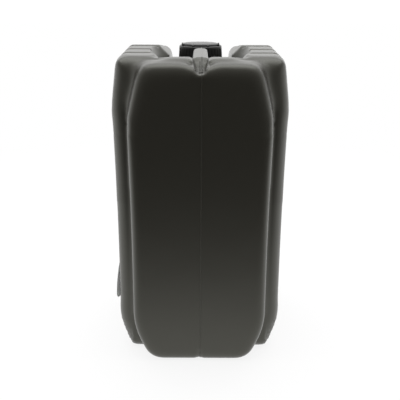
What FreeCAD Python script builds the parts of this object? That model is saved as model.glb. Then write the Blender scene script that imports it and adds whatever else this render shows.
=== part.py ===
import FreeCAD, Part
import math
import os

from FreeCAD import Placement, Rotation, Vector

# A 20 litre jerrycan for motor oil, in millimetres.
# The origin is the middle of the footprint, +Z is up and +Y points at the end with the neck.

os.makedirs("parts", exist_ok=True)
doc = FreeCAD.newDocument("jerrycan")

# Driving sizes
sheet = doc.addObject("Spreadsheet::Sheet", "Sizes")
SIZES = {
    # Wide part of the shell, seen from the end
    "wall": 2.0,
    "inner_bevel": 0.75,
    "shoulder_height": 413.0,
    "body_depth": 288.0,
    "body_width": 231.0,
    "body_top_width": 216.0,
    "lean_height": 350.0,
    "shoulder_radius": 13.0,
    "foot_width": 224.0,
    "foot_lean_width": 14.5,
    "foot_lean_height": 42.0,
    "foot_radius": 14.0,
    "foot_side_radius": 70.0,
    "lean_radius": 90.0,
    "wide_step": 36.0,
    "wide_edge_radius": 14.0,
    # Pinch-off groove along the base
    "pinch_width": 11.0,
    "pinch_floor_width": 5.0,
    "pinch_depth": 2.0,
    # Narrow part that reaches both ends
    "panel_width": 184.0,
    "panel_top_width": 154.0,
    "panel_height": 405.0,
    "panel_lean_height": 342.0,
    "panel_lean_radius": 90.0,
    "panel_corner_radius": 20.0,
    "panel_foot_width": 178.0,
    "panel_foot_radius": 27.0,
    "panel_foot_lean_width": 22.0,
    "panel_foot_lean_height": 47.0,
    "panel_foot_side_radius": 110.0,
    "panel_edge_radius": 12.0,
    # Raised pad in front of the handle, and the notch in it
    "collar_top_width": 84.0,
    "collar_foot_width": 118.0,
    "collar_corner_radius": 9.0,
    "collar_start": 26.0,
    "collar_end": 52.0,
    "collar_edge_radius": 6.5,
    "notch_width": 22.0,
    "notch_floor_width": 9.5,
    "notch_floor": 396.0,
    "notch_floor_radius": 4.5,
    "lobe_radius": 6.0,
    "lobe_reach": 30.0,
    "lobe_rise": 2.5,
    "handle_root": 50.0,
    "web_width": 4.5,
    "web_reach": 30.0,
    # Valley between the shoulder pads
    "valley_width": 120.0,
    "valley_knee_width": 91.0,
    "valley_knee_height": 398.0,
    "valley_knee_radius": 14.0,
    "deck_width": 82.0,
    "deck_height": 372.0,
    "deck_corner_radius": 8.0,
    "oval_rim_width": 138.0,
    "oval_floor_width": 96.0,
    "oval_stretch": 40.0,
    "oval_place": -3.0,
    "well_floor": 342.0,
    "well_rim_width": 80.0,
    "well_floor_width": 68.0,
    "well_stretch": 24.0,
    "well_place": -26.0,
    "fall_start": 62.0,
    "fall_drop": 8.0,
    # Cross grooves in the shoulder pads
    "groove_count": 3,
    "groove_pitch": 48.0,
    "groove_width": 11.0,
    "groove_floor_width": 3.5,
    "groove_depth": 3.0,
    "groove_wrap": 68.0,
    "groove_tail": 26.0,
    # Handle
    "handle_width": 21.0,
    "handle_tall": 27.0,
    "handle_top": 412.0,
    "handle_top_radius": 5.0,
    "handle_under_radius": 10.0,
    "handle_bend": 18.0,
    "handle_foot_place": 41.0,
    # Neck
    "neck_place": 96.0,
    "neck_radius": 26.8,
    "neck_bore": 24.4,
    "neck_top": 404.1,
    "bead_radius": 28.0,
    "bead_height": 382.3,
    "bead_thickness": 2.4,
    # Cap, liner and ring
    "cap_radius": 32.4,
    "cap_foot_radius": 33.6,
    "cap_ledge_radius": 31.2,
    "cap_crown_radius": 27.6,
    "cap_top": 412.6,
    "cap_ledge": 409.4,
    "cap_foot": 386.3,
    "cap_bore": 30.4,
    "cap_bevel": 1.0,
    "rib_count": 8,
    "rib_width": 2.4,
    "rib_drop": 0.8,
    "grip_count": 24,
    "grip_depth": 0.9,
    "grip_width": 1.8,
    "grip_margin": 3.0,
    "liner_thickness": 2.2,
    "liner_clearance": 0.3,
    "seal_gap": 0.3,
    "ring_thickness": 1.9,
    "ring_clearance": 0.6,
    "ring_gap": 0.7,
    "ring_lift": 1.0,
    # Recessed side panels and the label
    "recess_depth": 1.3,
    "recess_foot": 60.0,
    "recess_top": 338.0,
    "recess_margin": 16.0,
    "recess_corner": 18.0,
    "label_thickness": 0.4,
    "label_margin": 7.0,
    "label_corner": 8.0,
}
for row, (alias, value) in enumerate(SIZES.items(), start=1):
    sheet.set(f"A{row}", alias)
    sheet.set(f"B{row}", str(value))
    sheet.setAlias(f"B{row}", alias)
doc.recompute()

# How far cutting tools reach past the surface that they cut
SPARE = 12.0


def size(alias):
    """A driving size, read from the sheet."""
    return float(getattr(sheet, alias))


def bind(thing, **rules):
    """Tie properties of a feature to the sheet, such as Length="Sizes.wall"."""
    for name, rule in rules.items():
        thing.setExpression(name.replace("__", "."), rule)


def sketch_on(body, role, name, geometry):
    """A sketch on one of the body's own origin planes."""
    sketch = body.newObject("Sketcher::SketchObject", name)
    plane = next(item for item in body.Origin.OriginFeatures if item.Role == role)
    sketch.AttachmentSupport = [(plane, "")]
    sketch.MapMode = "FlatFace"
    sketch.addGeometry(geometry, False)
    doc.recompute()
    return sketch


def offset(points, distance):
    """Move the sides of a counter-clockwise outline of (x, y, radius) inwards."""
    count = len(points)
    moved = []
    for index, (px, py, radius) in enumerate(points):
        here = Vector(px, py, 0)
        before = here.sub(Vector(*points[index - 1][:2], 0)).normalize()
        after = Vector(*points[(index + 1) % count][:2], 0).sub(here).normalize()
        inward = Vector(-before.y - after.y, before.x + after.x, 0).normalize()
        reach = distance / Vector(-before.y, before.x, 0).dot(inward)
        corner = here.add(inward.multiply(reach))
        moved.append((corner.x, corner.y, max(radius - distance, 0.0)))
    return moved


def rounded(points):
    """Lines and tangent arcs through a closed outline of (x, y, radius)."""
    count = len(points)
    corners = []
    for index, (px, py, radius) in enumerate(points):
        here = Vector(px, py, 0)
        back = Vector(*points[index - 1][:2], 0).sub(here).normalize()
        ahead = Vector(*points[(index + 1) % count][:2], 0).sub(here).normalize()
        half_angle = back.getAngle(ahead) / 2
        reach = radius / math.tan(half_angle)
        bulge = radius / math.sin(half_angle) - radius
        first = here + back * reach
        middle = here + (back + ahead).normalize() * bulge
        last = here + ahead * reach
        corners.append((first, middle, last, radius))
    edges = []
    for index, (first, middle, last, radius) in enumerate(corners):
        if radius > 0:
            edges.append(Part.Arc(first, middle, last))
        start = corners[(index + 1) % count][0]
        if last.distanceToPoint(start) > 1e-6:
            edges.append(Part.LineSegment(last, start))
    return edges


def bevelled(points, share):
    """The same outline with each rounded corner cut straight, for the space inside."""
    flat = []
    for index, (px, py, radius) in enumerate(points):
        here = Vector(px, py, 0)
        back = Vector(*points[index - 1][:2], 0).sub(here).normalize()
        ahead = Vector(*points[(index + 1) % len(points)][:2], 0).sub(here).normalize()
        first = here + back * radius * share
        last = here + ahead * radius * share
        flat += [(first.x, first.y, 0.0), (last.x, last.y, 0.0)]
    return flat


def mirrored(half):
    """A closed outline from its right half, listed from the bottom up."""
    left = [(-px, py, radius) for px, py, radius in reversed(half)]
    return half + left


def extruded(name, outline, start, end):
    """A prism of an outline in the XZ plane, from one Y to another."""
    body = doc.addObject("PartDesign::Body", name)
    sketch = sketch_on(body, "XZ_Plane", f"{name}_outline", rounded(outline))
    sketch.AttachmentOffset = Placement(Vector(0, 0, -start), Rotation())
    pad = body.newObject("PartDesign::Pad", f"{name}_pad")
    pad.Profile = sketch
    pad.Length = end - start
    pad.Reversed = True
    doc.recompute()
    return body


def end_edges(shape, places):
    """Names of the edges that lie in planes of constant Y."""
    names = []
    for index, edge in enumerate(shape.Edges, start=1):
        box = edge.BoundBox
        flat = box.YLength < 1e-4
        if flat and any(abs(box.YMin - place) < 1e-3 for place in places):
            names.append(f"Edge{index}")
    return names


def fused(name, *pieces):
    joined = doc.addObject("Part::MultiFuse", name)
    joined.Shapes = list(pieces)
    doc.recompute()
    return joined


def cut_by(name, base, tools):
    """One cut after another; the last one carries the name."""
    remainder = base
    for index, tool in enumerate(tools, start=1):
        last = index == len(tools)
        step = doc.addObject("Part::Cut", name if last else f"{name}_{index}")
        step.Base = remainder
        step.Tool = tool
        step.Refine = last
        remainder = step
    doc.recompute()
    return remainder


def wide_half():
    """Right half of the wide part, seen from the end."""
    return [
        (size("foot_width") / 2 - size("foot_lean_width"), 0.0, size("foot_radius")),
        (size("foot_width") / 2, size("foot_lean_height"), size("foot_side_radius")),
        (size("body_width") / 2, size("lean_height"), size("lean_radius")),
        (size("body_top_width") / 2, size("shoulder_height"), size("shoulder_radius")),
    ]


def panel_half():
    """Right half of the narrow part, seen from the end."""
    foot = size("panel_foot_width") / 2
    return [
        (foot - size("panel_foot_lean_width"), 0.0, size("panel_foot_radius")),
        (foot, size("panel_foot_lean_height"), size("panel_foot_side_radius")),
        (size("panel_width") / 2, size("panel_lean_height"), size("panel_lean_radius")),
        (size("panel_top_width") / 2, size("panel_height"), size("panel_corner_radius")),
    ]


def block(name, half, length_rule, radius_rule, inset):
    """A prism along Y with rounded ends; inset makes the space inside, with bevelled ends."""
    body = doc.addObject("PartDesign::Body", name)
    outline = offset(mirrored(half), inset)
    sketch = sketch_on(body, "XZ_Plane", f"{name}_outline", rounded(outline))
    pad = body.newObject("PartDesign::Pad", f"{name}_pad")
    pad.Profile = sketch
    pad.Midplane = True
    bind(pad, Length=length_rule + (" - 2 * Sizes.wall" if inset else ""))
    doc.recompute()
    kind = "PartDesign::Chamfer" if inset else "PartDesign::Fillet"
    edges = body.newObject(kind, f"{name}_edges")
    reach = pad.Length.Value / 2
    edges.Base = (pad, end_edges(pad.Shape, (-reach, reach)))
    if inset:
        bind(edges, Size=f"({radius_rule} - Sizes.wall) * Sizes.inner_bevel")
    else:
        bind(edges, Radius=radius_rule)
    doc.recompute()
    return body


# Shell before its cuts, and the space inside it
WIDE_LENGTH = "Sizes.body_depth - 2 * Sizes.wide_step"
WIDE_RADIUS = "Sizes.wide_edge_radius"
PANEL_LENGTH = "Sizes.body_depth"
PANEL_RADIUS = "Sizes.panel_edge_radius"
near_end = -size("body_depth") / 2


def collar(name, inset):
    """The raised pad at the top of the end panel."""
    outline = mirrored([
        (size("collar_foot_width") / 2, size("deck_height"), 0.0),
        (size("collar_foot_width") / 2, size("panel_height") - size("wall"), 0.0),
        (size("collar_top_width") / 2, size("shoulder_height"), size("collar_corner_radius")),
    ])
    start = near_end + size("collar_start") + inset
    body = extruded(name, offset(outline, inset), start, near_end + size("collar_end"))
    fillet = body.newObject("PartDesign::Fillet", f"{name}_edges")
    pad = doc.getObject(f"{name}_pad")
    names = [
        edge for edge in end_edges(pad.Shape, (start,))
        if pad.Shape.getElement(edge).BoundBox.ZMin > size("panel_height") - 2 * size("wall")
    ]
    fillet.Base = (pad, names)
    bind(fillet, Radius="Sizes.collar_edge_radius" + (" - Sizes.wall" if inset else ""))
    doc.recompute()
    return body


def blank(name, inset):
    """Both parts of the shell and the collar, as one solid."""
    wide = block(f"{name}_wide", wide_half(), WIDE_LENGTH, WIDE_RADIUS, inset)
    panel = block(f"{name}_panel", panel_half(), PANEL_LENGTH, PANEL_RADIUS, inset)
    return fused(name, wide, panel, collar(f"{name}_collar", inset))


def notch(name, grow):
    """The V notch through which the root of the handle comes down, between two round lobes."""
    top = size("shoulder_height")
    lobe = size("notch_width") / 2
    outline = mirrored([
        (size("notch_floor_width") / 2, size("notch_floor"), size("notch_floor_radius")),
        (lobe, top - size("wall") / 4, size("lobe_radius")),
        (lobe + size("lobe_reach"), top + size("lobe_rise"), 0.0),
        (lobe + size("lobe_reach"), top + SPARE, 0.0),
    ])
    end = near_end + size("collar_end") + SPARE
    return extruded(name, offset(outline, -grow), near_end - SPARE, end)


def valley(name, grow):
    """The sloping trough along the top, open at the end with the neck."""
    knee = size("valley_knee_width") / 2
    lift = size("shoulder_height") - size("valley_knee_height")
    slope = (size("valley_width") / 2 - knee) / lift
    outline = mirrored([
        (size("deck_width") / 2, size("deck_height"), size("deck_corner_radius")),
        (knee, size("valley_knee_height"), size("valley_knee_radius")),
        (size("valley_width") / 2 + slope * SPARE, size("shoulder_height") + SPARE, 0.0),
    ])
    start = near_end + size("collar_end") - grow
    return extruded(name, offset(outline, -grow), start, -near_end + SPARE)


def bowl(name, kind, floor, rim, grow):
    """A tapered oval hollow: a cone at each end and a straight stretch between them."""
    rise = rim + SPARE - floor
    low = size(f"{kind}_floor_width") / 2
    slope = (size(f"{kind}_rim_width") / 2 - low) / (rim - floor)
    low_rule = f"Sizes.{kind}_floor_width / 2 + {grow}"
    high_rule = f"{low_rule} + ({slope}) * ({rise})"
    ends = []
    for side in (-1, 1):
        cone = doc.addObject("Part::Cone", f"{name}_end_{side + 1}")
        cone.Height = rise + grow
        bind(cone, Radius1=low_rule, Radius2=high_rule)
        place = size(f"{kind}_place") + side * size(f"{kind}_stretch") / 2
        cone.Placement = Placement(Vector(0, place, floor - grow), Rotation())
        ends.append(cone)
    middle = extruded(
        f"{name}_middle",
        mirrored([(low + grow, floor - grow, 0.0), (low + grow + slope * rise, rim + SPARE, 0.0)]),
        size(f"{kind}_place") - size(f"{kind}_stretch") / 2,
        size(f"{kind}_place") + size(f"{kind}_stretch") / 2,
    )
    return fused(name, middle, *ends)


def fall(name, grow):
    """The shoulders fall a little towards the neck."""
    end = -near_end + SPARE
    drop = size("fall_drop") * (end - size("fall_start")) / (-near_end - size("fall_start"))
    top = size("shoulder_height")
    body = doc.addObject("PartDesign::Body", name)
    corners = [
        (size("fall_start"), top - grow, 0.0),
        (end, top - drop - grow, 0.0),
        (end, top + SPARE, 0.0),
        (size("fall_start"), top + SPARE, 0.0),
    ]
    sketch = sketch_on(body, "YZ_Plane", f"{name}_outline", rounded(corners))
    pad = body.newObject("PartDesign::Pad", f"{name}_pad")
    pad.Profile = sketch
    pad.Midplane = True
    bind(pad, Length="Sizes.body_width + 2 * Sizes.shoulder_radius")
    doc.recompute()
    return body


def groove(name, place, side, grow):
    """A cross groove that runs over one shoulder pad and down its outer corner."""
    lift = size("groove_depth")
    corner_x = size("body_top_width") / 2 - size("shoulder_radius")
    corner_z = size("shoulder_height") - size("shoulder_radius")
    bend = size("shoulder_radius") + lift
    turn = math.radians(size("groove_wrap"))
    start = Vector(size("deck_width") / 2, 0, corner_z + bend)
    over = Vector(corner_x, 0, corner_z + bend)
    half = Vector(corner_x + bend * math.sin(turn / 2), 0, corner_z + bend * math.cos(turn / 2))
    down = Vector(corner_x + bend * math.sin(turn), 0, corner_z + bend * math.cos(turn))
    tail = down + Vector(math.cos(turn), 0, -math.sin(turn)) * size("groove_tail")
    path = Part.Wire([
        Part.LineSegment(start, over).toShape(),
        Part.Arc(over, half, down).toShape(),
        Part.LineSegment(down, tail).toShape(),
    ])
    slope = (size("groove_width") - size("groove_floor_width")) / 2 / size("groove_depth")
    low = start.z - lift - size("groove_depth")
    floor = size("groove_floor_width") / 2
    mouth = floor + slope * (size("groove_depth") + lift)
    section = offset(mirrored([(floor, low, 0.0), (mouth, start.z, 0.0)]), -grow)
    corners = [Vector(start.x, across, height) for across, height, radius in section]
    profile = Part.makePolygon(corners + corners[:1])
    channel = path.makePipeShell([profile], True, False)
    if side < 0:
        channel = channel.mirror(Vector(0, 0, 0), Vector(1, 0, 0))
    feature = doc.addObject("Part::Feature", name)
    feature.Shape = channel
    feature.Placement = Placement(Vector(0, place, 0), Rotation())
    return feature


def side_lean():
    """Angle of the broad side from upright, in degrees."""
    rise = size("lean_height") - size("foot_lean_height")
    return math.degrees(math.atan((size("body_width") - size("foot_width")) / 2 / rise))


def side_panel(name, side, margin, corner, sink, thickness):
    """A rounded plate parallel to a broad side, sunk below it, thick towards the outside."""
    half = size("body_depth") / 2 - size("wide_step") - size("recess_margin") - margin
    low = size("recess_foot") + margin
    high = size("recess_top") - margin
    middle = (low + high) / 2
    reach = (high - low) / 2
    outline = [(-half, -reach, corner), (half, -reach, corner), (half, reach, corner), (-half, reach, corner)]
    body = doc.addObject("PartDesign::Body", name)
    sketch = sketch_on(body, "YZ_Plane", f"{name}_outline", rounded(outline))
    pad = body.newObject("PartDesign::Pad", f"{name}_pad")
    pad.Profile = sketch
    pad.Length = thickness
    pad.Reversed = side < 0
    lean = side_lean()
    half_width = size("foot_width") / 2 + (middle - size("foot_lean_height")) * math.tan(math.radians(lean))
    turn = Rotation(Vector(0, 1, 0), side * lean)
    body.Placement = Placement(Vector(side * (half_width - sink), 0, middle), turn)
    doc.recompute()
    return body


def pinch(name, grow):
    """The pinch-off groove that the mould leaves along the middle of the base."""
    slope = (size("pinch_width") - size("pinch_floor_width")) / 2 / size("pinch_depth")
    outline = mirrored([
        (size("pinch_width") / 2 + slope * SPARE, -SPARE, 0.0),
        (size("pinch_floor_width") / 2, size("pinch_depth"), 0.0),
    ])
    return extruded(name, offset(outline, -grow), near_end - SPARE, -near_end + SPARE)


def cuts(name, grow):
    """What is pressed into the blank; grow makes the same cuts for the space inside."""
    tools = [
        notch(f"{name}_notch", grow),
        valley(f"{name}_valley", grow),
        bowl(f"{name}_oval", "oval", size("deck_height"), size("shoulder_height"), grow),
        bowl(f"{name}_well", "well", size("well_floor"), size("deck_height"), grow),
        fall(f"{name}_fall", grow),
        pinch(f"{name}_pinch", grow),
    ]
    count = int(size("groove_count"))
    for index in range(count):
        place = (index - (count - 1) / 2) * size("groove_pitch")
        for side in (-1, 1):
            tools.append(groove(f"{name}_groove_{index}_{side + 1}", place, side, grow))
    for side in (-1, 1):
        tools.append(side_panel(
            f"{name}_recess_{side + 1}", side, -grow, size("recess_corner") + grow,
            size("recess_depth") + grow, SPARE,
        ))
    return tools


def handle_bar(name, inset):
    """The handle bar, level along Y and then down to the deck in front of the neck."""
    body = doc.addObject("PartDesign::Body", name)
    half_tall = size("handle_tall") / 2
    level = size("handle_top") - half_tall
    foot = size("handle_foot_place")
    bend = size("handle_bend")
    start = near_end + size("handle_root") + inset
    low = size("deck_height") - size("wall") / 2 - 2 * inset
    slant = bend * math.sqrt(0.5)
    spine = sketch_on(body, "YZ_Plane", f"{name}_path", [
        Part.LineSegment(Vector(start, level, 0), Vector(foot - bend, level, 0)),
        Part.Arc(
            Vector(foot - bend, level, 0),
            Vector(foot - bend + slant, level - bend + slant, 0),
            Vector(foot, level - bend, 0),
        ),
        Part.LineSegment(Vector(foot, level - bend, 0), Vector(foot, low, 0)),
    ])
    wide = size("handle_width") / 2
    outline = offset(mirrored([
        (wide, level - half_tall, size("handle_under_radius")),
        (wide, level + half_tall, size("handle_top_radius")),
    ]), inset)
    if inset:
        outline = bevelled(outline, size("inner_bevel"))
    section = sketch_on(body, "XZ_Plane", f"{name}_section", rounded(outline))
    section.AttachmentOffset = Placement(Vector(0, 0, -start), Rotation())
    doc.recompute()
    pipe = body.newObject("PartDesign::AdditivePipe", f"{name}_pipe")
    pipe.Profile = section
    pipe.Spine = spine
    doc.recompute()
    return body


def handle_web():
    """The pinched web that runs from the handle's root down into the notch."""
    root = near_end + size("handle_root")
    body = doc.addObject("PartDesign::Body", "handle_web")
    outline = [
        (root - size("web_reach"), size("notch_floor") - size("wall") / 2, 0.0),
        (root + size("wall") / 2, size("notch_floor") - size("wall"), 0.0),
        (root + size("wall") / 2, size("handle_top") - size("wall"), 0.0),
    ]
    sketch = sketch_on(body, "YZ_Plane", "handle_web_outline", rounded(outline))
    pad = body.newObject("PartDesign::Pad", "handle_web_pad")
    pad.Profile = sketch
    pad.Midplane = True
    bind(pad, Length="Sizes.web_width")
    doc.recompute()
    return body


def turned(name, outline, place_rule="Sizes.neck_place"):
    """A solid of revolution about the neck's axis; the outline is (radius, height) pairs."""
    body = doc.addObject("PartDesign::Body", name)
    edges = []
    for index, (radius, height) in enumerate(outline):
        after = outline[(index + 1) % len(outline)]
        edges.append(Part.LineSegment(Vector(radius, height, 0), Vector(*after, 0)))
    sketch = sketch_on(body, "XZ_Plane", f"{name}_outline", edges)
    turn = body.newObject("PartDesign::Revolution", f"{name}_turn")
    turn.Profile = sketch
    turn.ReferenceAxis = (sketch, ["V_Axis"])
    turn.Angle = 360.0
    bind(body, Placement__Base__y=place_rule)
    doc.recompute()
    return body


# One blown shell: walls, collar and handle, open under the neck
outer = cut_by("outer", blank("outer_blank", 0.0), cuts("outer_cut", 0.0))
space = cut_by("space", blank("space_blank", size("wall")), cuts("space_cut", size("wall")))

mouth = turned("mouth_tool", [
    (0.0, size("deck_height") - 2 * size("wall")),
    (size("neck_bore"), size("deck_height") - 2 * size("wall")),
    (size("neck_bore"), size("deck_height") + size("wall")),
    (0.0, size("deck_height") + size("wall")),
])
grip = handle_bar("handle", 0.0)
hollow_grip = handle_bar("handle_space", size("wall"))
solid_can = fused("solid_can", outer, grip, handle_web())
canister = cut_by("canister", solid_can, [space, hollow_grip, mouth])
canister.Label = "canister_body"

# Neck on the deck: a plain bore, a trimmed lip, and a bead for the ring
bead_low = size("bead_height") - size("bead_thickness")
lip = size("wall") / 2
neck = turned("neck", [
    (size("neck_bore"), size("deck_height")),
    (size("neck_radius"), size("deck_height")),
    (size("neck_radius"), bead_low),
    (size("bead_radius"), bead_low),
    (size("neck_radius"), size("bead_height")),
    (size("neck_radius"), size("neck_top") - lip),
    (size("neck_radius") - lip, size("neck_top")),
    (size("neck_bore"), size("neck_top")),
])
neck.Label = "filler_neck"

# Screw cap: a ledge with ribs round the crown, and a grooved skirt
under_cap = size("neck_top") + size("seal_gap") + size("liner_thickness") + size("liner_clearance")
cap = turned("cap", [
    (0.0, under_cap),
    (size("cap_bore"), under_cap),
    (size("cap_bore"), size("cap_foot")),
    (size("cap_foot_radius"), size("cap_foot")),
    (size("cap_radius"), size("cap_ledge") - size("cap_bevel")),
    (size("cap_ledge_radius"), size("cap_ledge")),
    (size("cap_crown_radius"), size("cap_ledge")),
    (size("cap_crown_radius"), size("cap_top") - size("cap_bevel")),
    (size("cap_crown_radius") - size("cap_bevel"), size("cap_top")),
    (0.0, size("cap_top")),
])
cap.Label = "screw_cap"
rib_outline = sketch_on(cap, "XY_Plane", "rib_outline", rounded([
    (size("cap_crown_radius") - size("cap_bevel"), -size("rib_width") / 2, 0.0),
    (size("cap_ledge_radius"), -size("rib_width") / 2, 0.0),
    (size("cap_ledge_radius"), size("rib_width") / 2, 0.0),
    (size("cap_crown_radius") - size("cap_bevel"), size("rib_width") / 2, 0.0),
]))
bind(rib_outline, AttachmentOffset__Base__z="Sizes.cap_ledge - Sizes.cap_bevel")
doc.recompute()
rib = cap.newObject("PartDesign::Pad", "rib")
rib.Profile = rib_outline
bind(rib, Length="Sizes.cap_top - Sizes.cap_ledge + Sizes.cap_bevel - Sizes.rib_drop")
doc.recompute()
ribs = cap.newObject("PartDesign::PolarPattern", "ribs")
ribs.Originals = [rib]
ribs.Axis = (rib_outline, ["N_Axis"])
ribs.Angle = 360.0
bind(ribs, Occurrences="Sizes.rib_count")
cap.Tip = ribs
doc.recompute()
slot_floor = size("cap_radius") - size("grip_depth")
slot_mouth = size("cap_foot_radius") + SPARE
slot = sketch_on(cap, "XY_Plane", "grip_outline", rounded([
    (slot_floor, -size("grip_width") / 4, 0.0),
    (slot_mouth, -size("grip_width"), 0.0),
    (slot_mouth, size("grip_width"), 0.0),
    (slot_floor, size("grip_width") / 4, 0.0),
]))
bind(slot, AttachmentOffset__Base__z="Sizes.cap_foot + Sizes.grip_margin")
doc.recompute()
groove_cut = cap.newObject("PartDesign::Pocket", "grip_groove")
groove_cut.Profile = slot
groove_cut.Reversed = True
bind(groove_cut, Length="Sizes.cap_ledge - Sizes.cap_bevel - Sizes.cap_foot - 2 * Sizes.grip_margin")
doc.recompute()
around = cap.newObject("PartDesign::PolarPattern", "grip_grooves")
around.Originals = [groove_cut]
around.Axis = (slot, ["N_Axis"])
around.Angle = 360.0
bind(around, Occurrences="Sizes.grip_count")
cap.Tip = around
bind(cap, Placement__Rotation__Angle="180deg / Sizes.rib_count")
doc.recompute()

# Foam liner, held by the cap
liner_low = size("neck_top") + size("seal_gap")
liner = turned("liner", [
    (0.0, liner_low),
    (size("cap_bore") - size("liner_clearance"), liner_low),
    (size("cap_bore") - size("liner_clearance"), liner_low + size("liner_thickness")),
    (0.0, liner_low + size("liner_thickness")),
])
liner.Label = "cap_liner"

# Tamper ring that stays under the bead of the neck
lug_top = bead_low - size("seal_gap")
lug_low = lug_top - size("ring_lift")
ring = turned("ring", [
    (size("neck_radius") + size("ring_clearance"), lug_low),
    (size("cap_foot_radius"), lug_low),
    (size("cap_foot_radius"), size("cap_foot") - size("ring_gap")),
    (size("cap_foot_radius") - size("ring_thickness"), size("cap_foot") - size("ring_gap")),
    (size("cap_foot_radius") - size("ring_thickness"), lug_top),
    (size("neck_radius") + size("ring_clearance"), lug_top),
])
ring.Label = "tamper_ring"

# Film label on the recessed panel of one broad side
label = side_panel(
    "label", -1, size("label_margin"), size("label_corner"), size("recess_depth"),
    size("label_thickness"),
)
label.Label = "side_label"

# Check every object, then write each piece
doc.recompute()
for item in doc.Objects:
    faults = {"Invalid", "Error"} & set(item.State)
    if faults:
        raise RuntimeError(f"{item.Name} is {faults}")
for piece in (canister, neck, cap, liner, ring, label):
    shape = piece.Shape
    if shape.isNull() or not shape.isValid():
        raise RuntimeError(f"{piece.Label} has no valid shape")
    shape.exportStep(os.path.join("parts", f"{piece.Label}.step"))
    print(piece.Label, len(shape.Solids), "solid,", round(shape.Volume), "mm3")
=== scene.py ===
import math

import bpy
from mathutils import Euler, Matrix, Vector


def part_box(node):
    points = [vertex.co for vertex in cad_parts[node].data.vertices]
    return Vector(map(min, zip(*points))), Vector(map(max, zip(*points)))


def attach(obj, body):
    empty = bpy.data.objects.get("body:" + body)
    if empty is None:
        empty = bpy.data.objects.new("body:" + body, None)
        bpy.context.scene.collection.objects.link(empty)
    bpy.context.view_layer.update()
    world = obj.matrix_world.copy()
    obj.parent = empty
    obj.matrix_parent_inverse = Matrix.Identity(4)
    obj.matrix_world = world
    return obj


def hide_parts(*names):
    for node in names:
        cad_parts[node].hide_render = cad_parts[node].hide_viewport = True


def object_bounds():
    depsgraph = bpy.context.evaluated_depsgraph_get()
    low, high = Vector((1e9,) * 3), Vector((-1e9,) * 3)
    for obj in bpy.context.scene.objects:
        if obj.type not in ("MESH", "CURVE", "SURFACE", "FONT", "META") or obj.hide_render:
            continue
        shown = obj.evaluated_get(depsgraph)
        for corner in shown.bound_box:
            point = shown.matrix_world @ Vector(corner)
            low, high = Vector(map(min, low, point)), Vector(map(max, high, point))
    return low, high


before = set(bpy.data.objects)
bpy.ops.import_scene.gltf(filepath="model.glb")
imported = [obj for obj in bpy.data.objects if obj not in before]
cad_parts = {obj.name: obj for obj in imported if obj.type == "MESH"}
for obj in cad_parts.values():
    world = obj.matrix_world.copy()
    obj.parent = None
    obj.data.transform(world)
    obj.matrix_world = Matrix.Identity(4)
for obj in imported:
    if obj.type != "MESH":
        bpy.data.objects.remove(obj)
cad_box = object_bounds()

# Camera
# The photograph was taken from a little above the shoulders, square to the narrow end panel.
# The same can is seen from about 0.86 m in front of that panel through a 63 mm lens.
CAMERA_DISTANCE = 0.86
CAMERA_HEIGHT = 0.514
CAMERA_ASIDE = -0.0013
CAMERA_PITCH = math.radians(17.9)
CAMERA_ROLL = math.radians(-0.3)
PHOTO_WIDTH = 400
FOCAL_PIXELS = 701

near_end = cad_box[0][1]
camera_data = bpy.data.cameras.new("photo_camera")
camera_data.sensor_width = 36.0
camera_data.lens = FOCAL_PIXELS / PHOTO_WIDTH * camera_data.sensor_width
camera = bpy.data.objects.new("photo_camera", camera_data)
camera.location = (CAMERA_ASIDE, near_end - CAMERA_DISTANCE, CAMERA_HEIGHT)
camera.rotation_euler = Euler((math.pi / 2 - CAMERA_PITCH, CAMERA_ROLL, 0.0), "XYZ")
bpy.context.scene.collection.objects.link(camera)
bpy.context.scene.camera = camera
bpy.context.scene.view_settings.view_transform = "Standard"

# Studio
# The can stands on white paper that runs back into a white wall, so both read as one white.
# Soft light comes from behind, above and the sides, and the side facing the camera is darker.
# Part of that is a painted reflection: to glossy rays the paper glows dim in front of the can and brighter than white
# behind it.
PAPER_SIZE = 14.0
# Where the painted reflection that the paper shows to glossy rays runs from dim to brighter than white.
REFLECTION_DARK_AT = near_end - 0.50
REFLECTION_BRIGHT_AT = near_end - 0.04
SHADOW_REACH = 1.2

bpy.ops.mesh.primitive_plane_add(size=PAPER_SIZE, location=(0.0, 0.0, 0.0))
floor = bpy.context.object
floor.name = "studio_floor"


def srgb(code):
    """The linear colour of an sRGB hex value such as "1c1b18"."""
    channels = [int(code[i:i + 2], 16) / 255 for i in (0, 2, 4)]
    linear = [c / 12.92 if c <= 0.04045 else ((c + 0.055) / 1.055) ** 2.4 for c in channels]
    return (*linear, 1.0)


def add_node(tree, kind, settings=None, links=None):
    """One node with its settings (sockets or properties) and its incoming links."""
    node = tree.nodes.new(kind)
    for name, value in (settings or {}).items():
        if isinstance(name, int) or name in node.inputs:
            node.inputs[name].default_value = value
        else:
            setattr(node, name, value)
    for name, source in (links or {}).items():
        tree.links.new(source, node.inputs[name])
    return node


def new_material(name):
    """A material with an empty node tree."""
    material = bpy.data.materials.new(name)
    material.use_nodes = True
    material.node_tree.nodes.clear()
    return material, material.node_tree


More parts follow.
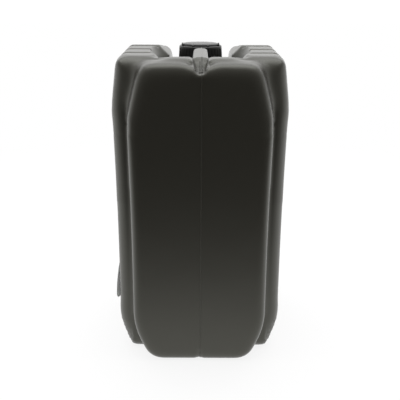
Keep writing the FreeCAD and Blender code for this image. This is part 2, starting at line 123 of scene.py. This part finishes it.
# To the camera and to diffuse light the paper is plain white with its faint real shadow. To glossy rays it is a glowing
# sheet, a painted reflection that darkens the can's near side and lights its tops and edges.
paper, tree = new_material("white_paper_with_painted_reflection")
light_path = add_node(tree, "ShaderNodeLightPath")
geometry = add_node(tree, "ShaderNodeNewGeometry")
place = add_node(tree, "ShaderNodeSeparateXYZ", links={"Vector": geometry.outputs["Position"]})
away = add_node(tree, "ShaderNodeVectorMath", {"operation": "LENGTH"}, {0: geometry.outputs["Position"]})
painted_reflection_fade = add_node(tree, "ShaderNodeMapRange", {
    "From Min": REFLECTION_DARK_AT, "From Max": REFLECTION_BRIGHT_AT, "To Min": 0.08, "To Max": 1.7,
    "interpolation_type": "SMOOTHSTEP",
}, {"Value": place.outputs["Y"]})
blank = add_node(tree, "ShaderNodeMapRange", {
    "From Min": 0.2, "From Max": SHADOW_REACH, "To Min": 0.85, "To Max": 1.0,
}, {"Value": away.outputs["Value"]})
matt = add_node(tree, "ShaderNodeBsdfDiffuse", {"Color": (0.95, 0.95, 0.95, 1.0)})
seen = add_node(tree, "ShaderNodeEmission", {"Color": (1.0, 1.0, 1.0, 1.0), "Strength": 1.0})
painted_reflection = add_node(tree, "ShaderNodeEmission", {"Color": (1.0, 1.0, 1.0, 1.0)}, {
    "Strength": painted_reflection_fade.outputs["Result"],
})
for_camera = add_node(tree, "ShaderNodeMixShader", {}, {
    0: blank.outputs["Result"], 1: matt.outputs[0], 2: seen.outputs[0],
})
plain = add_node(tree, "ShaderNodeMixShader", {}, {
    0: light_path.outputs["Is Glossy Ray"], 1: matt.outputs[0], 2: painted_reflection.outputs[0],
})
either = add_node(tree, "ShaderNodeMixShader", {}, {
    0: light_path.outputs["Is Camera Ray"], 1: plain.outputs[0], 2: for_camera.outputs[0],
})
add_node(tree, "ShaderNodeOutputMaterial", {}, {"Surface": either.outputs[0]})
floor.data.materials.append(paper)

world = bpy.data.worlds.new("white_studio")
bpy.context.scene.world = world
world.use_nodes = True
tree = world.node_tree
tree.nodes.clear()
direction = add_node(tree, "ShaderNodeTexCoord")
towards = add_node(tree, "ShaderNodeSeparateXYZ", links={"Vector": direction.outputs["Generated"]})
near_light = add_node(tree, "ShaderNodeMapRange", {
    "From Min": -1.0, "From Max": -0.86, "To Min": 0.06, "To Max": 0.42,
}, {"Value": towards.outputs["Y"]})
far_light = add_node(tree, "ShaderNodeMapRange", {
    "From Min": -0.86, "From Max": 0.15, "To Min": 0.0, "To Max": 0.8,
    "interpolation_type": "SMOOTHSTEP",
}, {"Value": towards.outputs["Y"]})
wall_light = add_node(tree, "ShaderNodeMath", {"operation": "ADD"}, {
    0: near_light.outputs["Result"], 1: far_light.outputs["Result"],
})
light_path = add_node(tree, "ShaderNodeLightPath")
white = add_node(tree, "ShaderNodeMath", {"operation": "MAXIMUM"}, {
    0: wall_light.outputs[0], 1: light_path.outputs["Is Camera Ray"],
})
sky = add_node(tree, "ShaderNodeBackground", {"Color": (1.0, 1.0, 1.0, 1.0)}, {
    "Strength": white.outputs[0],
})
add_node(tree, "ShaderNodeOutputWorld", {}, {"Surface": sky.outputs[0]})

bpy.ops.object.light_add(type="AREA", location=(0.0, 0.3, 1.7))
softbox = bpy.context.object
softbox.name = "top_softbox"
softbox.data.shape = "RECTANGLE"
softbox.data.size = 1.6
softbox.data.size_y = 1.2
softbox.data.energy = 15.0
softbox.rotation_euler = (Vector((0.0, 0.0, 0.3)) - softbox.location).to_track_quat("-Z", "Y").to_euler()

bpy.ops.object.light_add(type="AREA", location=(0.0, 2.2, 0.8))
backlight = bpy.context.object
backlight.name = "back_softbox"
backlight.data.shape = "RECTANGLE"
backlight.data.size = 4.0
backlight.data.size_y = 1.6
backlight.data.energy = 17.0
backlight.rotation_euler = (Vector((0.0, 0.0, 0.4)) - backlight.location).to_track_quat("-Z", "Y").to_euler()
for lamp in (softbox, backlight):
    lamp.visible_camera = False

# Canister shell
# One blown shell of black high-density polyethylene with a wall of about 2 mm. The mould gives
# it soft edges, grooved pads to stack on, and a hollow handle over a hand well.
WALL = 0.002
DECK = 0.372
NECK_PLACE = 0.096
NECK_RADIUS = 0.0268
NECK_BORE = 0.0244
SKIN_VOXEL = 0.00255
EDGE_SMOOTHING = 4
WALL_SMOOTHING = 14
COLLAR_SMOOTHING = 70
NOTCH_SMOOTHING = 6
PAD_END_SMOOTHING = 22
WELL_SMOOTHING = 10
INSIDE_SHARE_KEPT = 0.12
BULGE = 0.0016
PAD_TOP = 0.413
PAD_INNER_EDGE = 0.046
PAD_OUTER_EDGE = 0.060
PAD_END_RADIUS = 0.026
PANEL_TOP = 0.405
PANEL_TOP_HALF = 0.088
PANEL_TOP_FADE = 0.022
PANEL_RISE = 0.004
PANEL_FREE = 0.385
HANDLE_END = -0.0925
NOSE = (
    (HANDLE_END, 0.0092, 0.4105),
    (-0.103, 0.0032, 0.4060),
    (-0.127, 0.0022, 0.3965),
)
NOSE_FOOT = 0.390
PINCH_TOP = 0.024
PINCH_HALF = 0.0065
PINCH_DEPTH = 0.0028
WAIST = 0.0012
WAIST_LOW = 0.06
WAIST_HIGH = 0.335
CORNER_RADIUS = 0.022
WIDE_END = 0.108
PANEL_HALF = 0.094
MERGE_REACH = 0.0015
MERGE = 0.00001


def alone(piece):
    """Make a piece the only one selected, and the active one."""
    bpy.ops.object.select_all(action="DESELECT")
    piece.select_set(True)
    bpy.context.view_layer.objects.active = piece


def copy_of(original, name):
    """A copy of a piece with its own mesh, its doubles merged and its stored normals dropped."""
    piece = original.copy()
    piece.data = original.data.copy()
    piece.name = name
    piece.parent = None
    bpy.context.scene.collection.objects.link(piece)
    alone(piece)
    bpy.ops.object.mode_set(mode="EDIT")
    bpy.ops.mesh.select_all(action="SELECT")
    bpy.ops.mesh.remove_doubles(threshold=MERGE)
    bpy.ops.object.mode_set(mode="OBJECT")
    bpy.ops.mesh.customdata_custom_splitnormals_clear()
    return piece


def edit_faces(piece, chosen):
    """Go into edit mode with only those faces selected that pass the test."""
    alone(piece)
    bpy.ops.object.mode_set(mode="EDIT")
    bpy.ops.mesh.select_mode(type="FACE")
    bpy.ops.mesh.select_all(action="DESELECT")
    bpy.ops.object.mode_set(mode="OBJECT")
    for face in piece.data.polygons:
        face.select = chosen(face)
    bpy.ops.object.mode_set(mode="EDIT")


def from_neck(point):
    """Distance from the neck's axis."""
    return math.hypot(point.x, point.y - NECK_PLACE)


def waist(height):
    """How far the walls draw in between the shoulders and the foot."""
    share = (height - WAIST_LOW) / (WAIST_HIGH - WAIST_LOW)
    return WAIST * math.sin(math.pi * min(1.0, max(0.0, share)))


def softened(piece, name, times, chosen):
    """Smooth those vertices that pass the test, that many times."""
    alone(piece)
    group = piece.vertex_groups.new(name=name)
    group.add([vertex.index for vertex in piece.data.vertices if chosen(vertex.co)], 1.0, "REPLACE")
    smooth = piece.modifiers.new(name, "SMOOTH")
    smooth.factor = 0.5
    smooth.iterations = times
    smooth.vertex_group = name
    bpy.ops.object.modifier_apply(modifier=name)


def in_notch(co):
    return abs(co.x) < 0.016 and co.y < HANDLE_END + 0.008 and co.z > 0.385


def on_pads(co):
    return abs(co.x) > 0.038 and abs(co.y) < 0.076 and co.z > 0.383


def on_collar(co):
    return 0.013 < abs(co.x) < 0.068 and -0.141 < co.y < -0.098 and co.z > 0.388


def on_brow(co):
    """Where the end panel and the frame beside it run out into the shoulder."""
    panel = co.y < -0.126 and co.z > (0.370 if abs(co.x) < 0.055 else 0.318) and abs(co.x) > 0.013
    frame_top = co.y < -0.083 and co.z > 0.352 and 0.055 < abs(co.x) < 0.106
    return panel or frame_top


def on_pad_end(co):
    return co.y < -0.078 and co.z > 0.345 and abs(co.x) > 0.040


def on_well(co):
    return 0.030 < abs(co.x) < 0.076 and abs(co.y) < 0.068 and 0.346 < co.z < 0.408


def decimated(piece, share):
    """Keep that share of a piece's triangles, the flat places giving up most."""
    alone(piece)
    fewer = piece.modifiers.new("fewer_faces", "DECIMATE")
    fewer.ratio = share
    bpy.ops.object.modifier_apply(modifier="fewer_faces")


shell = copy_of(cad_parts["canister_body"], "canister_shell")
edit_faces(shell, lambda face: from_neck(face.center) < NECK_BORE + WALL / 8
           and abs(face.normal.z) < 0.5 and face.center.z > DECK - WALL)
bpy.ops.mesh.delete(type="FACE")
bpy.ops.mesh.select_all(action="SELECT")
bpy.ops.mesh.separate(type="LOOSE")
bpy.ops.object.mode_set(mode="OBJECT")
pieces = sorted(bpy.context.selected_objects, key=lambda piece: piece.dimensions.length)
shell = pieces.pop()
shell.name = "canister_shell"
for piece in pieces:
    bpy.data.objects.remove(piece)

alone(shell)
bpy.ops.object.mode_set(mode="EDIT")
bpy.ops.mesh.select_mode(type="EDGE")
bpy.ops.mesh.select_all(action="DESELECT")
bpy.ops.mesh.select_non_manifold()
bpy.ops.mesh.edge_face_add()
bpy.ops.object.mode_set(mode="OBJECT")

for root, tip in zip(NOSE, NOSE[1:]):
    bpy.ops.mesh.primitive_cube_add(size=1.0)
    for corner in bpy.context.object.data.vertices:
        place, half, crest = root if corner.co.y > 0 else tip
        height = crest if corner.co.z > 0 else NOSE_FOOT
        corner.co = (math.copysign(half, corner.co.x), place, height)
    shell.select_set(True)
    bpy.context.view_layer.objects.active = shell
    bpy.ops.object.join()
shell.data.remesh_voxel_size = SKIN_VOXEL
bpy.ops.object.voxel_remesh()
softened(shell, "all_edges", EDGE_SMOOTHING, lambda co: True)
softened(shell, "plain_walls", WALL_SMOOTHING, lambda co: not in_notch(co) and not on_pads(co))
softened(shell, "well_walls", WELL_SMOOTHING, on_well)
for vertex in shell.data.vertices:
    height = vertex.co.z
    if vertex.co.y < -0.100 and abs(vertex.co.x) > 0.013 and height > PANEL_FREE:
        up = min(1.0, (height - PANEL_FREE) / (PANEL_TOP - PANEL_FREE))
        over = max(0.0, (height - PANEL_TOP) / (PAD_TOP - PANEL_TOP))
        vertex.co.z += PANEL_RISE * up * up * (3 - 2 * up) * max(0.0, 1 - over)
softened(shell, "collar_front", COLLAR_SMOOTHING, lambda co: on_collar(co) or on_brow(co))
softened(shell, "notch_walls", NOTCH_SMOOTHING, in_notch)

level_width = {}
for vertex in shell.data.vertices:
    level = round(vertex.co.z / SKIN_VOXEL)
    level_width[level] = max(level_width.get(level, 0.0), abs(vertex.co.x))
for vertex in shell.data.vertices:
    corner_x = level_width[round(vertex.co.z / SKIN_VOXEL)] - CORNER_RADIUS
    past_x = abs(vertex.co.x) - corner_x
    past_y = abs(vertex.co.y) - (WIDE_END - CORNER_RADIUS)
    reach = math.hypot(past_x, past_y)
    if past_x > 0 and past_y > 0 and reach > CORNER_RADIUS and abs(vertex.co.x) > PANEL_HALF:
        vertex.co.x = math.copysign(corner_x + past_x * CORNER_RADIUS / reach, vertex.co.x)
        vertex.co.y = math.copysign(WIDE_END - CORNER_RADIUS + past_y * CORNER_RADIUS / reach, vertex.co.y)
    past_y = -vertex.co.y - (WIDE_END - PAD_END_RADIUS)
    past_z = vertex.co.z - (PAD_TOP - PAD_END_RADIUS)
    reach = math.hypot(past_y, past_z)
    share = min(1.0, max(0.0, (abs(vertex.co.x) - PAD_INNER_EDGE) / (PAD_OUTER_EDGE - PAD_INNER_EDGE)))
    if past_y > 0 and past_z > 0 and reach > PAD_END_RADIUS and -vertex.co.y < WIDE_END + MERGE_REACH:
        pull = share * (1 - PAD_END_RADIUS / reach)
        height = vertex.co.z - past_z * pull
        held = min(1.0, max(0.0, (PANEL_TOP_HALF - abs(vertex.co.x)) / PANEL_TOP_FADE))
        height += held * max(0.0, min(vertex.co.z, PANEL_TOP + PANEL_RISE) - height)
        vertex.co.y += past_y * pull
        vertex.co.z = height
    if vertex.co.y < -0.12 and vertex.co.z < PINCH_TOP:
        half = PINCH_HALF * (1 - vertex.co.z / PINCH_TOP)
        vertex.co.y += PINCH_DEPTH * max(0.0, 1 - abs(vertex.co.x) / max(half, MERGE))
    outwards = (BULGE - waist(vertex.co.z)) * min(1.0, abs(vertex.co.x) / PANEL_HALF)
    vertex.co.x += math.copysign(1.0, vertex.co.x) * outwards
softened(shell, "pad_ends", PAD_END_SMOOTHING, on_pad_end)
bpy.ops.object.shade_smooth()

# Parting line
# The two halves of the mould meet just beside the middle and leave a fine raised line all round.
# Where the handle's root is pinched into the notch, two rolled lips stand beside a slit.
SEAM_PLACE = 0.0016
SEAM_RADIUS = 0.0007
LIP_SPREAD = 0.0012
LIP_RADIUS = 0.0009
LIP_LIFT = 0.0003


def section_line(name, place, radius, kept=None, lift=0.0):
    """A round bead where a plane across the width cuts the skin."""
    line = copy_of(shell, name)
    if kept:
        edit_faces(line, lambda face: not kept(face.center))
        bpy.ops.mesh.delete(type="FACE")
        bpy.ops.object.mode_set(mode="OBJECT")
    bpy.ops.object.mode_set(mode="EDIT")
    bpy.ops.mesh.select_all(action="SELECT")
    bpy.ops.mesh.bisect(
        plane_co=(place, 0.0, 0.0), plane_no=(1.0, 0.0, 0.0), clear_inner=True, clear_outer=True,
    )
    bpy.ops.object.mode_set(mode="OBJECT")
    bpy.ops.object.convert(target="CURVE")
    line.data.bevel_depth = radius
    line.data.bevel_resolution = 2
    line.data.use_fill_caps = True
    bpy.ops.object.convert(target="MESH")
    bpy.ops.object.mode_set(mode="EDIT")
    bpy.ops.mesh.select_all(action="SELECT")
    bpy.ops.transform.translate(value=(0.0, 0.0, lift))
    bpy.ops.object.mode_set(mode="OBJECT")
    bpy.ops.object.shade_smooth()
    return line


def on_nose(co):
    return NOSE[-1][0] - 0.002 < co.y < NOSE[1][0] + 0.004 and co.z > 0.394


beads = [section_line("parting_line", SEAM_PLACE, SEAM_RADIUS)]
for side in (-1, 1):
    beads.append(section_line(
        f"notch_lip_{side + 1}", SEAM_PLACE / 3 + side * LIP_SPREAD, LIP_RADIUS, on_nose, LIP_LIFT,
    ))

edit_faces(shell, lambda face: from_neck(face.center) < NECK_BORE + WALL / 4
           and abs(face.center.z - DECK) < 3 * WALL)
bpy.ops.mesh.delete(type="FACE")
bpy.ops.object.mode_set(mode="OBJECT")
inside = copy_of(shell, "canister_inside")
decimated(inside, INSIDE_SHARE_KEPT)
inward = inside.modifiers.new("wall", "DISPLACE")
inward.strength = -WALL
inward.mid_level = 0.0
bpy.ops.object.modifier_apply(modifier="wall")
bpy.ops.object.mode_set(mode="EDIT")
bpy.ops.mesh.select_all(action="SELECT")
bpy.ops.mesh.flip_normals()
bpy.ops.object.mode_set(mode="OBJECT")
inside.name = "canister_inside"
alone(shell)
for piece in (*beads, shell):
    piece.select_set(True)
bpy.context.view_layer.objects.active = shell
bpy.ops.object.join()

black_hdpe, tree = new_material("black_blown_hdpe")
where = add_node(tree, "ShaderNodeTexCoord")
grain = add_node(tree, "ShaderNodeTexNoise", {"Scale": 900.0, "Detail": 2.0}, {
    "Vector": where.outputs["Object"],
})
swell = add_node(tree, "ShaderNodeTexNoise", {"Scale": 14.0, "Detail": 1.0}, {
    "Vector": where.outputs["Object"],
})
fine = add_node(tree, "ShaderNodeBump", {"Strength": 0.12, "Distance": 0.0002}, {
    "Height": grain.outputs["Fac"],
})
wavy = add_node(tree, "ShaderNodeBump", {"Strength": 0.25, "Distance": 0.002}, {
    "Height": swell.outputs["Fac"], "Normal": fine.outputs["Normal"],
})
shader = add_node(tree, "ShaderNodeBsdfPrincipled", {
    "Base Color": srgb("1f1c15"), "Roughness": 0.42, "IOR": 1.53, "Specular Tint": srgb("fdfff4"),
}, {"Normal": wavy.outputs["Normal"]})
add_node(tree, "ShaderNodeOutputMaterial", {}, {"Surface": shader.outputs[0]})
for piece in (shell, inside):
    piece.data.materials.clear()
    piece.data.materials.append(black_hdpe)
    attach(piece, "can")
    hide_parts("canister_body")

# Neck
# The neck is blown with the shell and trimmed flat at the lip. It has a right-hand thread of
# two turns for the cap, and under it a bead that holds the tamper ring.
NECK_TOP = 0.4041
BEAD_RADIUS = 0.028
BEAD_TOP = 0.3823
BEAD_THICKNESS = 0.0024
THREAD_PITCH = 0.006
THREAD_TURNS = 1.9
THREAD_START = 0.389
THREAD_DEPTH = 0.0014
THREAD_STAND = 0.0005
THREAD_SHARE_TAPERED = 0.06
TURNED_SEGMENTS = 144


def turned(name, outline, filled=False):
    """A piece turned about the neck's axis: a circle, extruded from ring to ring."""
    radius, height = outline[0]
    bpy.ops.object.select_all(action="DESELECT")
    bpy.ops.mesh.primitive_circle_add(
        vertices=TURNED_SEGMENTS, radius=radius, location=(0.0, NECK_PLACE, height),
        fill_type="NGON" if filled else "NOTHING",
    )
    piece = bpy.context.object
    piece.name = name
    bpy.ops.object.transform_apply(location=True)
    bpy.ops.object.mode_set(mode="EDIT")
    bpy.ops.mesh.select_all(action="SELECT")
    for next_radius, next_height in outline[1:] + ([] if filled else outline[:1]):
        bpy.ops.mesh.extrude_region_move(
            TRANSFORM_OT_translate={"value": (0.0, 0.0, next_height - height)},
        )
        bpy.ops.transform.resize(
            value=(next_radius / radius, next_radius / radius, 1.0),
            center_override=(0.0, NECK_PLACE, next_height),
        )
        radius, height = next_radius, next_height
    bpy.ops.mesh.select_all(action="SELECT")
    bpy.ops.mesh.remove_doubles(threshold=MERGE)
    bpy.ops.mesh.normals_make_consistent(inside=False)
    bpy.ops.object.mode_set(mode="OBJECT")
    return piece


def rounded_edges(piece, width):
    """Round every sharp edge a little and shade the rest smooth."""
    alone(piece)
    bevel = piece.modifiers.new("moulded_edges", "BEVEL")
    bevel.width = width
    bevel.segments = 2
    bevel.limit_method = "ANGLE"
    bevel.angle_limit = math.radians(32)
    bpy.ops.object.modifier_apply(modifier="moulded_edges")
    bpy.ops.object.shade_smooth_by_angle(angle=math.radians(50))


def thread(name, root, depth, start, turns):
    """A helical ridge about the neck's axis; a negative depth makes it point inwards."""
    bpy.ops.object.select_all(action="DESELECT")
    bpy.ops.mesh.primitive_circle_add(
        vertices=8, radius=abs(depth), location=(root, 0.0, 0.0), rotation=(math.pi / 2, 0.0, 0.0),
    )
    ridge = bpy.context.object
    ridge.name = name
    bpy.ops.object.transform_apply(location=True, rotation=True)
    winding = ridge.modifiers.new("winding", "SCREW")
    winding.angle = 2 * math.pi * turns
    winding.screw_offset = THREAD_PITCH * turns
    winding.steps = round(72 * turns)
    winding.render_steps = winding.steps
    bpy.ops.object.modifier_apply(modifier="winding")
    for vertex in ridge.data.vertices:
        angle = math.atan2(vertex.co.y, vertex.co.x) % (2 * math.pi)
        turn = (vertex.co.z / THREAD_PITCH - angle / (2 * math.pi))
        done = (round(turn) + angle / (2 * math.pi)) / turns
        full = min(1.0, max(0.0, min(done, 1 - done)) / THREAD_SHARE_TAPERED)
        radius = math.hypot(vertex.co.x, vertex.co.y)
        scale = (root + (radius - root) * full - (1 - full) * depth) / radius
        vertex.co.x *= scale
        vertex.co.y *= scale
    bpy.ops.object.mode_set(mode="EDIT")
    bpy.ops.mesh.select_all(action="SELECT")
    bpy.ops.transform.translate(value=(0.0, NECK_PLACE, start))
    bpy.ops.mesh.remove_doubles(threshold=MERGE)
    bpy.ops.mesh.select_mode(type="EDGE")
    bpy.ops.mesh.select_all(action="DESELECT")
    bpy.ops.mesh.select_non_manifold()
    bpy.ops.mesh.edge_face_add()
    bpy.ops.mesh.select_all(action="SELECT")
    bpy.ops.mesh.normals_make_consistent(inside=False)
    bpy.ops.object.mode_set(mode="OBJECT")
    bpy.ops.object.shade_smooth()
    return ridge


neck = turned("neck_wall", [
    (NECK_BORE, DECK - 2 * WALL),
    (NECK_RADIUS, DECK - 2 * WALL),
    (NECK_RADIUS, BEAD_TOP - BEAD_THICKNESS),
    (BEAD_RADIUS, BEAD_TOP - BEAD_THICKNESS),
    (BEAD_RADIUS, BEAD_TOP - BEAD_THICKNESS / 2),
    (NECK_RADIUS, BEAD_TOP),
    (NECK_RADIUS, NECK_TOP - WALL / 2),
    (NECK_RADIUS - WALL / 2, NECK_TOP),
    (NECK_BORE, NECK_TOP),
])
rounded_edges(neck, WALL / 8)
neck_thread = thread("neck_thread", NECK_RADIUS + THREAD_STAND, THREAD_DEPTH, THREAD_START, THREAD_TURNS)
for piece in (neck_thread, neck):
    piece.select_set(True)
bpy.context.view_layer.objects.active = neck
bpy.ops.object.join()
neck.data.materials.clear()
neck.data.materials.append(black_hdpe)
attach(neck, "can")
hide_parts("filler_neck")

# Tamper ring
# A thin polypropylene ring that tore off the cap's foot and stays under the neck's bead.
ring_low, ring_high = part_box("tamper_ring")
RING_OUTER = (ring_high[0] - ring_low[0]) / 2
RING_THICKNESS = 0.0019
RING_CLEARANCE = 0.0006
RING_LUG = 0.001

black_pp, tree = new_material("black_moulded_polypropylene")
where = add_node(tree, "ShaderNodeTexCoord")
grain = add_node(tree, "ShaderNodeTexNoise", {"Scale": 1500.0, "Detail": 1.0}, {
    "Vector": where.outputs["Object"],
})
fine = add_node(tree, "ShaderNodeBump", {"Strength": 0.08, "Distance": 0.0001}, {
    "Height": grain.outputs["Fac"],
})
shader = add_node(tree, "ShaderNodeBsdfPrincipled", {
    "Base Color": srgb("171716"), "Roughness": 0.46, "IOR": 1.46,
}, {"Normal": fine.outputs["Normal"]})
add_node(tree, "ShaderNodeOutputMaterial", {}, {"Surface": shader.outputs[0]})

ring = turned("torn_tamper_ring", [
    (NECK_RADIUS + RING_CLEARANCE, ring_low[2]),
    (RING_OUTER, ring_low[2]),
    (RING_OUTER, ring_high[2]),
    (RING_OUTER - RING_THICKNESS, ring_high[2]),
    (RING_OUTER - RING_THICKNESS, ring_low[2] + RING_LUG),
    (NECK_RADIUS + RING_CLEARANCE, ring_low[2] + RING_LUG),
])
rounded_edges(ring, RING_LUG / 5)
ring.data.materials.append(black_pp)
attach(ring, "can")
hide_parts("tamper_ring")

# Cap liner
# A disc of white polyethylene foam, pressed up into the cap, that seals on the neck's lip.
liner_low, liner_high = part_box("cap_liner")
LINER_RADIUS = (liner_high[0] - liner_low[0]) / 2

foam, tree = new_material("white_polyethylene_foam")
where = add_node(tree, "ShaderNodeTexCoord")
cells = add_node(tree, "ShaderNodeTexVoronoi", {"Scale": 1400.0}, {"Vector": where.outputs["Object"]})
pitted = add_node(tree, "ShaderNodeBump", {"Strength": 0.3, "Distance": 0.0002}, {
    "Height": cells.outputs["Distance"],
})
shader = add_node(tree, "ShaderNodeBsdfPrincipled", {
    "Base Color": srgb("e4e3de"), "Roughness": 0.7, "IOR": 1.5,
}, {"Normal": pitted.outputs["Normal"]})
add_node(tree, "ShaderNodeOutputMaterial", {}, {"Surface": shader.outputs[0]})

liner = turned("foam_liner", [(LINER_RADIUS, liner_low[2]), (LINER_RADIUS, liner_high[2])], filled=True)
rounded_edges(liner, (liner_high[2] - liner_low[2]) / 8)
liner.data.materials.append(foam)
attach(liner, "liner")
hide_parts("cap_liner")

# Screw cap
# A black polypropylene cap, injection moulded. A ledge with eight ribs runs round the crown,
# fine grooves in the skirt give grip, and the thread inside matches the neck's.
cap_low, cap_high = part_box("screw_cap")
CAP_FOOT_RADIUS = (cap_high[0] - cap_low[0]) / 2
CAP_RADIUS = 0.0324
CAP_BORE = 0.0304
CAP_LEDGE = 0.4094
CAP_LEDGE_RADIUS = 0.0312
CROWN_RADIUS = 0.0276
CROWN_EDGE = 0.001
CROWN_DOME = 0.0004
UNDER_CAP = liner_high[2] + 0.0003
RIB_COUNT = 8
RIB_WIDTH = 0.0024
RIB_DROP = 0.0008
GRIP_COUNT = 36
GRIP_DEPTH = 0.0007
GRIP_MARGIN = 0.003

skirt_top = CAP_LEDGE - CROWN_EDGE
grip_low = cap_low[2] + GRIP_MARGIN
grip_high = skirt_top - GRIP_MARGIN
skirt_slope = (CAP_FOOT_RADIUS - CAP_RADIUS) / (skirt_top - cap_low[2])
cap = turned("screw_cap_moulding", [
    (CAP_BORE, UNDER_CAP),
    (CAP_BORE, cap_low[2]),
    (CAP_FOOT_RADIUS, cap_low[2]),
    (CAP_FOOT_RADIUS - skirt_slope * GRIP_MARGIN, grip_low),
    (CAP_RADIUS + skirt_slope * GRIP_MARGIN, grip_high),
    (CAP_RADIUS, skirt_top),
    (CAP_LEDGE_RADIUS, CAP_LEDGE),
    (CROWN_RADIUS, CAP_LEDGE),
    (CROWN_RADIUS, cap_high[2] - CROWN_EDGE),
    (CROWN_RADIUS - CROWN_EDGE, cap_high[2] - CROWN_DOME),
    (CROWN_RADIUS / 2, cap_high[2]),
], filled=True)
groove_every = TURNED_SEGMENTS // GRIP_COUNT


def in_groove(face):
    """Whether a face of the skirt lies where a grip groove runs."""
    around = math.atan2(face.center.y - NECK_PLACE, face.center.x) / (2 * math.pi) * TURNED_SEGMENTS
    outer = from_neck(face.center) > CAP_RADIUS - GRIP_DEPTH
    return outer and grip_low < face.center.z < grip_high and math.floor(around) % groove_every == 0


edit_faces(cap, in_groove)
bpy.ops.mesh.inset(thickness=GRIP_DEPTH / 3, depth=-GRIP_DEPTH, use_individual=True)
bpy.ops.object.mode_set(mode="OBJECT")
rounded_edges(cap, 0.00025)

rib_length = CAP_LEDGE_RADIUS - CROWN_RADIUS + CROWN_EDGE
rib_height = cap_high[2] - RIB_DROP - skirt_top
bpy.ops.object.select_all(action="DESELECT")
bpy.ops.mesh.primitive_cube_add(size=1.0, location=(CAP_LEDGE_RADIUS - rib_length / 2, 0.0, skirt_top + rib_height / 2))
rib = bpy.context.object
rib.name = "crown_rib"
rib.scale = (rib_length, RIB_WIDTH, rib_height)
bpy.ops.object.transform_apply(location=True, scale=True)
rounded_edges(rib, RIB_WIDTH / 6)
ribs = []
for index in range(RIB_COUNT):
    one = copy_of(rib, f"crown_rib_{index}")
    bpy.ops.object.mode_set(mode="EDIT")
    bpy.ops.mesh.select_all(action="SELECT")
    angle = 2 * math.pi * (index + 0.5) / RIB_COUNT
    bpy.ops.transform.rotate(value=-angle, orient_axis="Z", center_override=(0.0, 0.0, 0.0))
    bpy.ops.transform.translate(value=(0.0, NECK_PLACE, 0.0))
    bpy.ops.object.mode_set(mode="OBJECT")
    ribs.append(one)
bpy.data.objects.remove(rib)
cap_thread = thread(
    "cap_thread", CAP_BORE - THREAD_STAND, -THREAD_DEPTH, THREAD_START + THREAD_PITCH / 2, THREAD_TURNS,
)
for piece in (*ribs, cap_thread, cap):
    piece.select_set(True)
bpy.context.view_layer.objects.active = cap
bpy.ops.object.join()
cap.data.materials.append(black_pp)
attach(cap, "cap")
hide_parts("screw_cap")

# Side label
# A blank film label on the recessed panel of one broad side. Its lower corner on the handle's
# end has come away, so it stands off the wall and catches the light.
LABEL_CORNER = 0.008
LABEL_CELLS = 60
PEEL_HEIGHT = 0.06
PEEL_REACH = 0.03
PEEL_LIFT = 0.006

label_low, label_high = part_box("side_label")
label_middle = [(low + high) / 2 for low, high in zip(label_low, label_high)]
half_long = (label_high[1] - label_low[1]) / 2
half_tall = (label_high[2] - label_low[2]) / 2
LABEL_THICKNESS = 0.0004
lean = math.asin((label_high[0] - label_low[0] - LABEL_THICKNESS) / (2 * half_tall))

bpy.ops.object.select_all(action="DESELECT")
bpy.ops.mesh.primitive_grid_add(x_subdivisions=LABEL_CELLS, y_subdivisions=LABEL_CELLS, size=2.0)
label = bpy.context.object
label.name = "film_label"
for vertex in label.data.vertices:
    across, up = vertex.co.x * half_long, vertex.co.y * half_tall
    past_long = abs(across) - (half_long - LABEL_CORNER)
    past_tall = abs(up) - (half_tall - LABEL_CORNER)
    if past_long > 0 and past_tall > 0:
        pull = LABEL_CORNER * max(past_long, past_tall) / math.hypot(past_long, past_tall) / LABEL_CORNER
        across = math.copysign(half_long - LABEL_CORNER + past_long * pull, across)
        up = math.copysign(half_tall - LABEL_CORNER + past_tall * pull, up)
    from_edge = (across + half_long) / PEEL_REACH
    from_foot = (up + half_tall) / PEEL_HEIGHT
    lift = PEEL_LIFT * max(0.0, 1 - from_edge) ** 2 * max(0.0, 1 - from_foot ** 2)
    vertex.co = (
        label_middle[0] - up * math.sin(lean) - lift + waist(label_middle[2] + up) - BULGE,
        label_middle[1] + across,
        label_middle[2] + up * math.cos(lean),
    )
film = label.modifiers.new("film", "SOLIDIFY")
film.thickness = LABEL_THICKNESS
film.offset = 0.0
alone(label)
bpy.ops.object.modifier_apply(modifier="film")
bpy.ops.object.shade_smooth_by_angle(angle=math.radians(40))

grey_film, tree = new_material("blank_grey_label_film")
where = add_node(tree, "ShaderNodeTexCoord")
scuffs = add_node(tree, "ShaderNodeTexNoise", {"Scale": 45.0, "Detail": 5.0}, {
    "Vector": where.outputs["Object"],
})
worn = add_node(tree, "ShaderNodeValToRGB", links={"Fac": scuffs.outputs["Fac"]})
worn.color_ramp.elements[0].color = srgb("d2d3d2")
worn.color_ramp.elements[1].color = srgb("e6e7e5")
shader = add_node(tree, "ShaderNodeBsdfPrincipled", {"Roughness": 0.32, "IOR": 1.5}, {
    "Base Color": worn.outputs["Color"],
})
through = add_node(tree, "ShaderNodeBsdfTranslucent", links={"Color": worn.outputs["Color"]})
film_shader = add_node(tree, "ShaderNodeMixShader", {"Fac": 0.45}, {1: shader.outputs[0], 2: through.outputs[0]})
add_node(tree, "ShaderNodeOutputMaterial", {}, {"Surface": film_shader.outputs[0]})
label.data.materials.append(grey_film)
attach(label, "can")
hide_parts("side_label")
